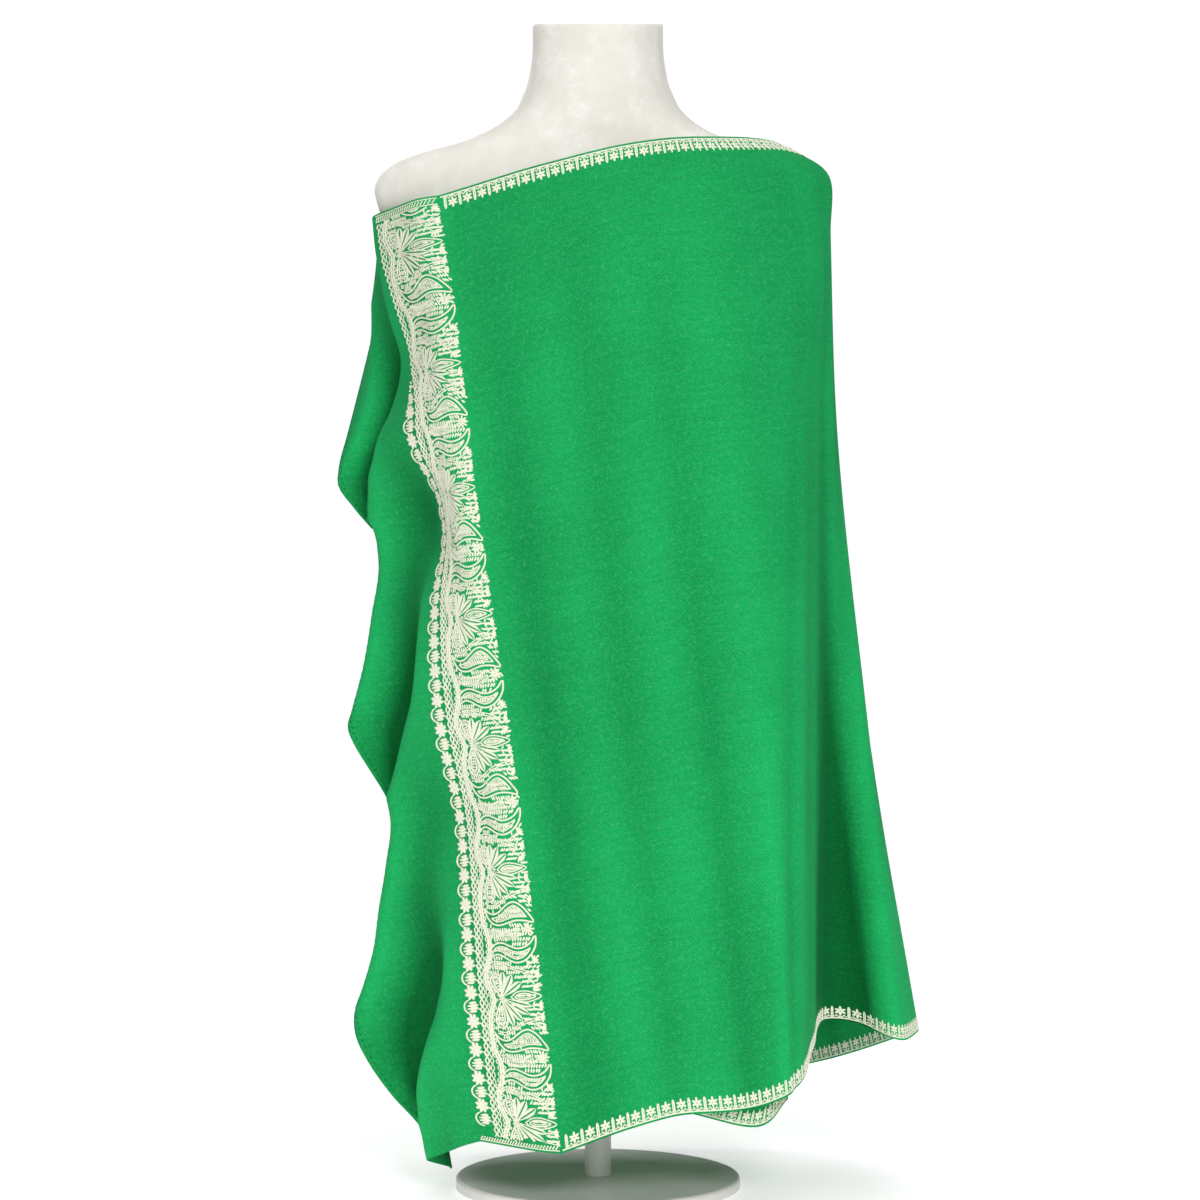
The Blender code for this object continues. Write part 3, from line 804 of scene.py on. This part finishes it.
def ground_stitches(work, stem):
    """Rows of short stitches over the ground right of the stem, clear of threads and bare lines."""
    cell = 0.004  # side of the squares by which near points are looked up
    drawn = [(path, half - OVERLAP) for path, half in work.threads]
    drawn += [(path, half + SPARE) for path, half in work.bare]
    samples = np.vstack([path for path, _ in drawn])
    reach = np.concatenate([half for _, half in drawn])
    cells = {}
    for k, key in enumerate(map(tuple, np.floor(samples / cell).astype(int).tolist())):
        cells.setdefault(key, []).append(k)
    chance = np.random.default_rng(7)
    ground = Needlework()
    levels = np.arange(BAND_TOP + 0.001, BAND_FOOT - 0.001, GROUND_ALONG)
    for n, level in enumerate(levels):
        start = tucked(np.interp(level, stem[:, 1], stem[:, 0]), level) + STEM_ROOM
        for x in np.arange(start, PALLA_LINE - 0.0014, GROUND_ACROSS):
            spot = np.array([x + (n % 2) * GROUND_ACROSS / 2, level])
            spot += chance.uniform(-0.0003, 0.0003, 2)
            i, j = np.floor(spot / cell).astype(int)
            nine = [(i + a, j + b) for a in (-1, 0, 1) for b in (-1, 0, 1)]
            near = [k for key in nine for k in cells.get(key, ())]
            if near and (np.linalg.norm(samples[near] - spot, axis=1) - reach[near]).min() < 0:
                continue
            flower = (level - FIRST_REPEAT) / REPEAT - FLOWER[1]
            rise = (flower - round(flower)) * REPEAT
            away = (x - FLAP_LENGTH - FLOWER[0] * PALLA_WIDTH, rise)
            ground.blob(spot, away, *GROUND_STITCH)
    return ground


def embroider_band():
    """The band's threads, with its repeats cut off at its edges, and the path of its stem."""
    work = Needlework()
    for k in REPEATS:
        draw_repeat(work, FIRST_REPEAT + k * REPEAT)
    kept = []
    for path, half in work.threads:
        x, v = path.T
        inside = (v > BAND_TOP) & (v < BAND_FOOT) & (x < PALLA_LINE + 0.0005)
        kept += stretches(path, half, inside)
    work.threads = kept
    stem = draw_stem(work)
    draw_buds(work)
    draw_band_ends(work)
    tuck(work)
    return work, stem


# ---- The narrow border along both selvedges ----

BORDER_UNIT = 0.0135
# How deep in the field these lie
BORDER_LINE = 0.0026  # the line along the selvedge
TWIG_TOP = 0.0064
STEM_TOP = 0.0075
BORDER_FLOWER = 0.0102
BAR_TOP = 0.0138
BEAD = 0.0142  # over each bar and flower


def draw_border(work, hem, start, end, reverse=False):
    """Bars and small flowers by turns, which stand on a line and point into the field."""
    inwards = (0, -1 if hem else 1)

    def at(along, deep):
        """The flat point so far along the border and so deep into the field."""
        return along, (CLOTH_WIDTH - deep if hem else deep)

    work.bar(at(start, BORDER_LINE), at(end, BORDER_LINE), 0.0017, step=0.0045)
    for along in np.arange(start + BORDER_UNIT * 0.3, end - BORDER_UNIT * 0.6, BORDER_UNIT):
        for side in (-0.0007, 0.0007):
            foot, top = at(along + side, BORDER_LINE), at(along + side, BAR_TOP)
            work.bar(foot, top, 0.0015, step=0.0036)
        work.blob(at(along, BEAD), inwards, 0.0030, 0.0024)
        middle = along + BORDER_UNIT / 2
        foot = at(middle, BORDER_LINE)
        for side in (-1.0, 1.0):
            work.bar(foot, at(middle + side * 0.0036, TWIG_TOP), 0.0014)
            if not reverse:
                work.blob(at(middle + side * 0.0043, 0.0046), (1, 0), 0.0022, 0.0014)
        work.bar(foot, at(middle, STEM_TOP), 0.0013)
        work.star(at(middle, BORDER_FLOWER), 0.0046, 6, 0.0027, turn=math.pi / 6)
        work.blob(at(middle, BEAD), inwards, 0.0032, 0.0019)


# ---- Sewing the threads on ----

SUNK = 0.0002  # the edges of a thread lie this far inside the cloth
THREAD_MAP = 0.0015  # a thread takes this much of its map, across it


def sew(name, work, finish, side=1.0, height=0.00055):
    """One piece of all the threads, on the cloth's right side or, at a side of -1, its reverse."""
    paths = np.vstack([path for path, _ in work.threads])
    halves = np.concatenate([half for _, half in work.threads])
    edges = np.vstack([beside(path, 1.0) - path for path, _ in work.threads])
    along = np.concatenate([lengths(path) for path, _ in work.threads])
    points, strip = [], []
    for across, crown in zip(ACROSS, CROWN):
        flat = paths + edges * (side * halves * across)[:, None]
        lift = CLOTH_THICKNESS / 2 - SUNK + crown * (SUNK + np.minimum(height, halves * 1.1))
        points.append(on_cloth(flat[:, 0], flat[:, 1], side * lift))
        strip.append(np.column_stack([along, np.full(len(along), 0.5 + across / 2) * THREAD_MAP]))
    ends = np.cumsum([len(path) for path, _ in work.threads])[:-1] - 1
    made = grid_piece(name, np.vstack(points), len(paths), finish, ends)
    set_uv(made, np.vstack(strip))
    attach(made, "root")
    return made


# ---- Finishes ----


def link(tree, value, socket):
    """Gives a socket its value: a number, a colour or scale, or another node's output."""
    if isinstance(value, (int, float)):
        socket.default_value = value
    elif isinstance(value, tuple):
        socket.default_value = (*value, 1) if socket.type == "RGBA" else value
    else:
        tree.links.new(value, socket)


def node(tree, kind, inputs, **settings):
    """The outputs of a new node with these settings and inputs."""
    made = tree.nodes.new("ShaderNode" + kind)
    for name, value in settings.items():
        setattr(made, name, value)
    for label, value in inputs.items():
        link(tree, value, made.inputs[label])
    return made.outputs


def group(name, inputs, outputs):
    """A new shader node group, the values given to it, and the sockets of its outputs."""
    made = bpy.data.node_groups.new(name, "ShaderNodeTree")
    for label, kind, value in inputs:
        socket = made.interface.new_socket(name=label, in_out="INPUT", socket_type=kind)
        if value is not None:
            socket.default_value = value
    for label in outputs:
        made.interface.new_socket(name=label, in_out="OUTPUT", socket_type="NodeSocketFloat")
    given, out = made.nodes.new("NodeGroupInput"), made.nodes.new("NodeGroupOutput")
    return made, given.outputs, out.inputs


def maths(tree, operation, *values):
    """A maths node's result."""
    return node(tree, "Math", dict(enumerate(values)), operation=operation)[0]


def times(tree, first, second):
    """The product of two values."""
    return maths(tree, "MULTIPLY", first, second)


def total(tree, *shares):
    """The sum of each value times its share."""
    first, *others = (times(tree, value, share) for value, share in shares)
    for other in others:
        first = maths(tree, "ADD", first, other)
    return first


def noise(tree, vector, scale, detail=2.0, rough=0.5):
    """Soft noise between 0 and 1."""
    inputs = {"Vector": vector, "Scale": scale, "Detail": detail, "Roughness": rough}
    return node(tree, "TexNoise", inputs)["Fac"]


def stretched(tree, vector, *scale):
    """The vector scaled differently along each axis."""
    return node(tree, "Mapping", {"Vector": vector, "Scale": scale})["Vector"]


def ramp(tree, value, *stops):
    """A value between 0 and 1 turned into a grey or a colour by stops of (place, colour)."""
    made = tree.nodes.new("ShaderNodeValToRGB")
    tree.links.new(value, made.inputs["Fac"])
    elements = made.color_ramp.elements
    while len(elements) < len(stops):
        elements.new(0.5)
    for element, (place, colour) in zip(elements, stops):
        element.position = place
        element.color = (*(colour if isinstance(colour, tuple) else (colour,) * 3), 1)
    return made.outputs["Color"]


def mix_colour(tree, share, first, second, blend="MIX"):
    """The second colour over the first by a share, or worked into it by another blend."""
    colours = {0: share, 6: first, 7: second}
    return node(tree, "Mix", colours, data_type="RGBA", blend_type=blend)[2]


def twill_group():
    """Fine twill: how high it stands, slubs that follow the weft, loose fibres and clouds."""
    made, given, out = group(
        "fine twill",
        [("Flat Place", "NodeSocketVector", None), ("Threads a Metre", "NodeSocketFloat", 1500.0)],
        ("Height", "Slubs", "Fibres", "Clouds"),
    )
    place, scale = given["Flat Place"], given["Threads a Metre"]
    x, y, _ = node(made, "SeparateXYZ", {0: place})

    def threads(along, rate):
        """The waves of the threads that cross this way."""
        return maths(made, "SINE", times(made, along, times(made, scale, rate)))

    crossed = times(made, threads(x, 3.14), threads(y, 3.14))
    rib = threads(maths(made, "ADD", x, y), 2.1)
    link(made, total(made, (crossed, 0.35), (rib, 0.45)), out["Height"])
    slubs = noise(made, stretched(made, place, 46.0, 900.0, 1.0), 1.0, 3.0, 0.6)
    wide = noise(made, stretched(made, place, 14.0, 260.0, 1.0), 1.0)
    link(made, total(made, (slubs, 0.65), (wide, 0.35)), out["Slubs"])
    hairs = 0.0
    for turn in (20, 75, 140):
        way = {"Vector": place, "Angle": math.radians(turn)}
        lying = node(made, "VectorRotate", way, rotation_type="Z_AXIS")["Vector"]
        hair = noise(made, stretched(made, lying, 650.0, 185.0, 1.0), 1.0, 1.0)
        hairs = maths(made, "ADD", hairs, ramp(made, hair, (0.0, 0.0), (0.54, 0.0), (0.74, 1.0)))
    link(made, hairs, out["Fibres"])
    link(made, noise(made, place, 7.0, 3.0, 0.6), out["Clouds"])
    return made


def stitch_group():
    """A stitched thread: chain links along it, an uneven tone, and a mask of its edges for painted
    shade.
    """
    made, given, out = group(
        "chain stitch",
        [("Along Thread", "NodeSocketVector", None), ("Link Length", "NodeSocketFloat", 0.0026)],
        ("Height", "Shade", "Painted Edge Shade"),
    )
    along = given["Along Thread"]
    x, y, _ = node(made, "SeparateXYZ", {0: along})
    across = maths(made, "ABSOLUTE", maths(made, "SUBTRACT", y, THREAD_MAP / 2))
    # the edge mask: where painted shade darkens the thread towards the cloth's green
    edge = ramp(made, maths(made, "DIVIDE", across, THREAD_MAP / 2), (0.60, 0.0), (1.0, 1.0))
    link(made, edge, out["Painted Edge Shade"])
    chain = maths(made, "DIVIDE", maths(made, "ADD", x, across), given["Link Length"])
    link(made, maths(made, "SINE", times(made, chain, 2 * math.pi)), out["Height"])
    link(made, noise(made, stretched(made, along, 900.0, 900.0, 1.0), 1.0), out["Shade"])
    return made


TWILL = twill_group()
CHAIN_STITCH = stitch_group()


def finish_of(name, colour, roughness, **constants):
    """A Principled finish with its constants on the shader's own sockets; gives them as well."""
    made = bpy.data.materials.new(name)
    made.use_nodes = True
    made.diffuse_color = (*colour, 1)
    shader = made.node_tree.nodes["Principled BSDF"].inputs
    for label, value in {"Base_Color": colour, "Roughness": roughness, **constants}.items():
        link(made.node_tree, value, shader[label.replace("_", " ")])
    return made, made.node_tree, shader


def raised(tree, shader, height, strength, distance):
    """Bump from a height."""
    inputs = {"Strength": strength, "Distance": distance, "Height": height}
    link(tree, node(tree, "Bump", inputs)["Normal"], shader["Normal"])


def on_flat_cloth(tree, made):
    """The outputs of a node group whose first input is the place on the flat cloth."""
    place = node(tree, "UVMap", {}, uv_map="flat_cloth")["UV"]
    return node(tree, "Group", {0: place}, node_tree=made)


def object_place(tree):
    """The place on the piece, in metres."""
    return node(tree, "TexCoord", {})["Object"]


PASHMINA_LIGHT = (0.008, 0.380, 0.098)
PASHMINA_SLUBS = (0.76, 0.79, 0.75)  # what the thicker threads take from the tone
PASHMINA_LINT = (0.09, 0.56, 0.23)
PASHMINA_PAINTED_FOLD_SHADE = (0.001, 0.138, 0.028)  # painted shade in the bottom of the folds
PASHMINA_PAINTED_CREST_LIGHT = (0.013, 0.520, 0.142)  # painted highlight along their tops


def pashmina_finish(name):
    """Soft wool twill with slubs and loose fibres, with a painted highlight on its folds and
    painted shade in them.
    """
    made, tree, shader = finish_of(
        name,
        PASHMINA_LIGHT,
        0.8,
        Sheen_Weight=0.12,
        Sheen_Roughness=0.4,
        Sheen_Tint=(0.15, 0.95, 0.5),
        Specular_IOR_Level=0.06,
    )
    twill = on_flat_cloth(tree, TWILL)
    # the hollow attribute sets where the painted highlight on the fold crests and the painted shade
    # in their hollows go
    depth = node(tree, "Attribute", {}, attribute_name="hollow")["Fac"]
    painted_crest_light = ramp(tree, depth, (0.05, 0.8), (0.5, 0.0))
    shade = ramp(tree, depth, (0.5, 0.0), (0.95, 0.95))
    body = mix_colour(tree, painted_crest_light, PASHMINA_LIGHT, PASHMINA_PAINTED_CREST_LIGHT)
    body = mix_colour(tree, shade, body, PASHMINA_PAINTED_FOLD_SHADE)
    woven = total(tree, (twill["Slubs"], 0.6), (twill["Clouds"], 0.4))
    thick = ramp(tree, woven, (0.40, 1.0), (0.60, 0.0))
    body = mix_colour(tree, thick, body, PASHMINA_SLUBS, "MULTIPLY")
    # the loose fibres fade where the painted shade is deep
    lint = times(tree, twill["Fibres"], ramp(tree, depth, (0.5, 0.20), (0.95, 0.05)))
    body = mix_colour(tree, lint, body, PASHMINA_LINT)
    link(tree, body, shader["Base Color"])
    raised(tree, shader, total(tree, (twill["Height"], 1.0), (twill["Slubs"], 1.6)), 0.5, 0.0005)
    return made


def thread_finish(name, light, deep, edge, roughness=0.55, sheen=0.2):
    """Stitched thread, a little uneven in tone, with painted shade at its edges that is partly the
    green of the cloth showing between stitches.
    """
    made, tree, shader = finish_of(
        name, light, roughness, Sheen_Weight=sheen, Sheen_Roughness=0.4, Specular_IOR_Level=0.3
    )
    stitch = on_flat_cloth(tree, CHAIN_STITCH)
    body = mix_colour(tree, stitch["Shade"], deep, light)
    # painted shade at the thread's edges, partly the cloth's green showing between stitches
    body = mix_colour(tree, times(tree, stitch["Painted Edge Shade"], 0.85), body, edge)
    link(tree, body, shader["Base Color"])
    raised(tree, shader, stitch["Height"], 0.5, 0.0003)
    return made


def velvet_finish(name):
    """Crushed velvet: patches of pile that lean different ways, with painted sheen that makes some
    pale and some dull, and painted glints on the pale ones.
    """
    made, tree, shader = finish_of(
        name,
        (0.80, 0.775, 0.71),
        0.85,
        Sheen_Weight=1.0,
        Sheen_Roughness=0.3,
        Sheen_Tint=(1.0, 0.98, 0.94),
        Specular_IOR_Level=0.15,
    )
    place = object_place(tree)
    patches = noise(tree, stretched(tree, place, 1.0, 1.0, 0.6), 26.0, 4.0, 0.55)
    crushed = total(tree, (patches, 0.7), (noise(tree, place, 90.0, 3.0, 0.6), 0.3))
    # painted sheen: the crushed patches painted dull, even or pale as their pile would catch the
    # light
    dull, even, pale = (0.83, 0.80, 0.73), (0.875, 0.845, 0.775), (0.94, 0.915, 0.855)
    tone = ramp(tree, crushed, (0.38, dull), (0.50, even), (0.62, pale))
    # painted glints of the pile, only on the pale patches
    painted_pile_glints = noise(tree, stretched(tree, place, 1.0, 1.0, 2.6), 210.0, 2.0, 0.6)
    painted_pile_glints = ramp(tree, painted_pile_glints, (0.57, 0.0), (0.66, 1.0))
    lit = ramp(tree, crushed, (0.46, 0.1), (0.58, 0.9))
    tone = mix_colour(tree, times(tree, painted_pile_glints, lit), tone, (0.985, 0.975, 0.94))
    link(tree, tone, shader["Base Color"])
    link(tree, ramp(tree, crushed, (0.3, 0.95), (0.7, 0.70)), shader["Roughness"])
    pile = noise(tree, place, 1400.0, 1.0)
    raised(tree, shader, total(tree, (crushed, 2.0), (pile, 0.25)), 0.30, 0.0015)
    return made


def painted_finish(name):
    """Paint with faint clouds and an uneven gloss."""
    made, tree, shader = finish_of(name, (0.80, 0.785, 0.75), 0.38, Specular_IOR_Level=0.5)
    place = object_place(tree)
    dull, pale = (0.77, 0.755, 0.72), (0.83, 0.815, 0.78)
    tone = ramp(tree, noise(tree, place, 14.0, 3.0), (0.3, dull), (0.7, pale))
    link(tree, tone, shader["Base Color"])
    gloss = ramp(tree, noise(tree, place, 60.0), (0.3, 0.32), (0.7, 0.46))
    link(tree, gloss, shader["Roughness"])
    raised(tree, shader, noise(tree, place, 900.0), 0.12, 0.0003)
    return made


# ---- The cloth and its threads ----

HOLLOWS = ((0.022, 0.020), (0.050, 0.110))  # reach, and how deep a hollow is when the painted shade is full


def weave_shawl(finish):
    """The whole cloth as one thin sheet."""
    made = grid_piece("shawl_cloth", SURFACE.reshape(-1, 3), len(FINE_PLACES), finish)
    flat = np.array([np.interp(FINE_PLACES, LINE_PLACES, flats_at([v])[0]) for v in ROWS])
    flat[:, FINE_PLACES < PALLA_LINE] = FINE_PLACES[FINE_PLACES < PALLA_LINE]
    set_uv(made, np.column_stack([flat.ravel(), np.repeat(ROWS, len(FINE_PLACES))]))
    # how far each point lies in a hollow, which the finish turns into painted shade in the folds
    # and a painted highlight on their crests
    shade = sum((hollow_depth(reach) / full for reach, full in HOLLOWS), 0.5)
    layer = made.data.attributes.new("hollow", "FLOAT", "POINT")
    layer.data.foreach_set("value", np.clip(shade, 0.0, 1.0).astype(np.float32).ravel())
    wall = made.modifiers.new("wall", "SOLIDIFY")
    wall.thickness = CLOTH_THICKNESS
    wall.offset = 0.0
    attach(made, "root")
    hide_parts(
        "shawl_free_end",
        "shawl_palla",
        "shawl_front",
        "shawl_right_side",
        "shawl_back",
        "shawl_under_turn",
    )
    return made


def stitch_hem(work):
    """The hand stitches that hold the turned edge of the free end."""
    chance = np.random.default_rng(11)
    for level in np.arange(0.006, CLOTH_WIDTH - 0.004, 0.0052):
        slant = chance.uniform(0.0004, 0.0014)
        spot = (0.0048 + chance.uniform(-0.0003, 0.0003), level)
        work.blob(spot, (slant, 0.0022), 0.0027, 0.0009)


def drawn(draw, *values, **more):
    """New needlework that the function draws."""
    work = Needlework()
    draw(work, *values, **more)
    return work


green = pashmina_finish("green pashmina")
# the third colour of each thread finish is the painted shade at its edges
cream = thread_finish("cream thread", (0.97, 0.975, 0.82), (0.90, 0.905, 0.72), (0.26, 0.46, 0.18))
dull_cream = (0.98, 0.95, 0.84), (0.94, 0.91, 0.79), (0.82, 0.80, 0.66)
cream_reverse = thread_finish("reverse of the cream thread", *dull_cream, 0.75, 0.1)
dark_green = (0.003, 0.11, 0.03), (0.001, 0.06, 0.02), (0.001, 0.05, 0.02)
dark_thread = thread_finish("hem thread", *dark_green, 0.7, 0.1)
velvet = velvet_finish("crushed velvet")
paint = painted_finish("off-white paint")

cloth = weave_shawl(green)

palla, stem = embroider_band()
ground = ground_stitches(palla, stem)
layers = (palla, "embroidery_palla", 0.0010), (ground, "embroidery_ground", 0.0004)
for work, name, height in layers:
    for end in ("upper", "lower"):
        part = Needlework()
        for path, half in work.threads:
            if (path[:, 1].mean() < CLOTH_WIDTH / 2) == (end == "upper"):
                part.lay(path, half)
        sew(name + "_" + end, part, cream, height=height)

for name, hem in (("embroidery_top_border", False), ("embroidery_hem_border", True)):
    border = hem, PALLA_LINE + 0.0015, HANGING[-1][1][int(hem)] - 0.004
    sew(name, drawn(draw_border, *border), cream)
    work = drawn(draw_border, *border, reverse=True)
    sew(name + "_reverse", work, cream_reverse, side=-1.0, height=0.0003)

sew("hem_stitches", drawn(stitch_hem), dark_thread, height=0.0003)


# ---- The dress form ----

SKIN_SIDES = 144
SKIN_RINGS = 170
NECK_EDGE = 0.0022  # rounding of the neck's rim
NECK_LEAN_START = 1.045  # the rings lean more and more from here up to the sloping cut


def shape_torso(finish):
    """The padded torso, a smooth skin through the rings, closed flat at the neck and below."""
    table = np.array(TORSO_RINGS)
    heights = np.linspace(table[0, 0], table[-1, 0], SKIN_RINGS)
    rings = smooth(table[:, 0], table[:, 1:], heights)
    around = np.append(np.linspace(0, 2 * math.pi, SKIN_SIDES, endpoint=False), 2 * math.pi)
    bm = bmesh.new()
    made = bmesh.ops.create_grid(bm, x_segments=SKIN_SIDES, y_segments=SKIN_RINGS - 1, size=1.0)
    for row, (height, (half, front, back)) in enumerate(zip(heights, rings)):
        depths = np.where(np.sin(around) < 0, front, back) * np.sin(around)
        leaning = NECK_SLOPE * ease((height - NECK_LEAN_START) / (table[-1, 0] - NECK_LEAN_START))
        for vert, x, y in zip(made["verts"][row * len(around) :], half * np.cos(around), depths):
            vert.co = (x, y, height + leaning * y)
    bmesh.ops.remove_doubles(bm, verts=bm.verts, dist=0.00001)
    open_edges = [edge for edge in bm.edges if edge.is_boundary]
    caps = bmesh.ops.holes_fill(bm, edges=open_edges, sides=0)["faces"]
    top = [edge for face in caps if face.calc_center_median().z > 1.0 for edge in face.edges]
    bmesh.ops.bevel(
        bm, geom=top, offset=NECK_EDGE, segments=4, profile=0.5, affect="EDGES", material=-1
    )
    bmesh.ops.recalc_face_normals(bm, faces=bm.faces)
    made = piece("velvet_torso", bm, finish)
    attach(made, "root")
    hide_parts("form_torso")


shape_torso(velvet)
for name in ("form_pole", "form_collar", "form_base"):
    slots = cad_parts[name].data.materials
    slots.clear()
    slots.append(paint)


# ---- Floor, light and camera ----

CAMERA_DISTANCE = 2.8  # in front of the form's axis
CAMERA_PLACE = (0.0019, -CAMERA_DISTANCE, 0.5558)
VIEW_WIDTH = 1.14  # of the frame, at the form's axis
SENSOR = 36.0
LIT_POINT = (0.0, 0.0, 0.55)  # the lights all look at it
LIGHTS = (
    # name, place, side of its square, watts
    ("key", (0.7, -3.1, 1.9), 0.9, 51),
    ("low", (0.3, -3.0, 0.3), 1.0, 8),
    ("fill", (-2.6, -1.8, 1.3), 1.6, 15),
    ("back", (-0.4, 2.6, 2.0), 1.8, 30),
    ("overhead", (0.0, -0.3, 3.4), 3.0, 40),
)
FLOOR_SIDE = 3.4

glow = {"Emission_Color": (1, 1, 1), "Emission_Strength": 0.45}
white = finish_of("studio floor", (0.93, 0.93, 0.93), 0.9, Specular_IOR_Level=0.1, **glow)[0]
bm = bmesh.new()
bmesh.ops.create_grid(bm, x_segments=1, y_segments=1, size=FLOOR_SIDE / 2)
floor = piece("studio_floor", bm, white)


def place_in_studio(name, data, place, turn):
    """A light or a camera at its place."""
    made = bpy.data.objects.new(name, data)
    made.location = place
    made.rotation_euler = turn
    bpy.context.scene.collection.objects.link(made)
    return made


for name, place, side, watts in LIGHTS:
    light = bpy.data.lights.new(name, "AREA")
    light.shape = "SQUARE"
    light.size = side
    light.energy = watts
    aim = (Vector(LIT_POINT) - Vector(place)).to_track_quat("-Z", "Y").to_euler()
    place_in_studio(name, light, place, aim)

world = bpy.data.worlds.new("studio")
bpy.context.scene.world = world
world.use_nodes = True
room = world.node_tree
backdrop = room.nodes["Background"].inputs
backdrop["Color"].default_value = (1, 1, 1, 1)
seen = node(room, "LightPath", {})["Is Camera Ray"]
link(room, maths(room, "ADD", times(room, seen, 0.88), 0.17), backdrop["Strength"])
bpy.context.scene.view_settings.view_transform = "Standard"

lens = bpy.data.cameras.new("camera")
lens.sensor_width = SENSOR
lens.lens = SENSOR * CAMERA_DISTANCE / VIEW_WIDTH
bpy.context.scene.camera = place_in_studio("camera", lens, CAMERA_PLACE, (math.radians(90), 0, 0))
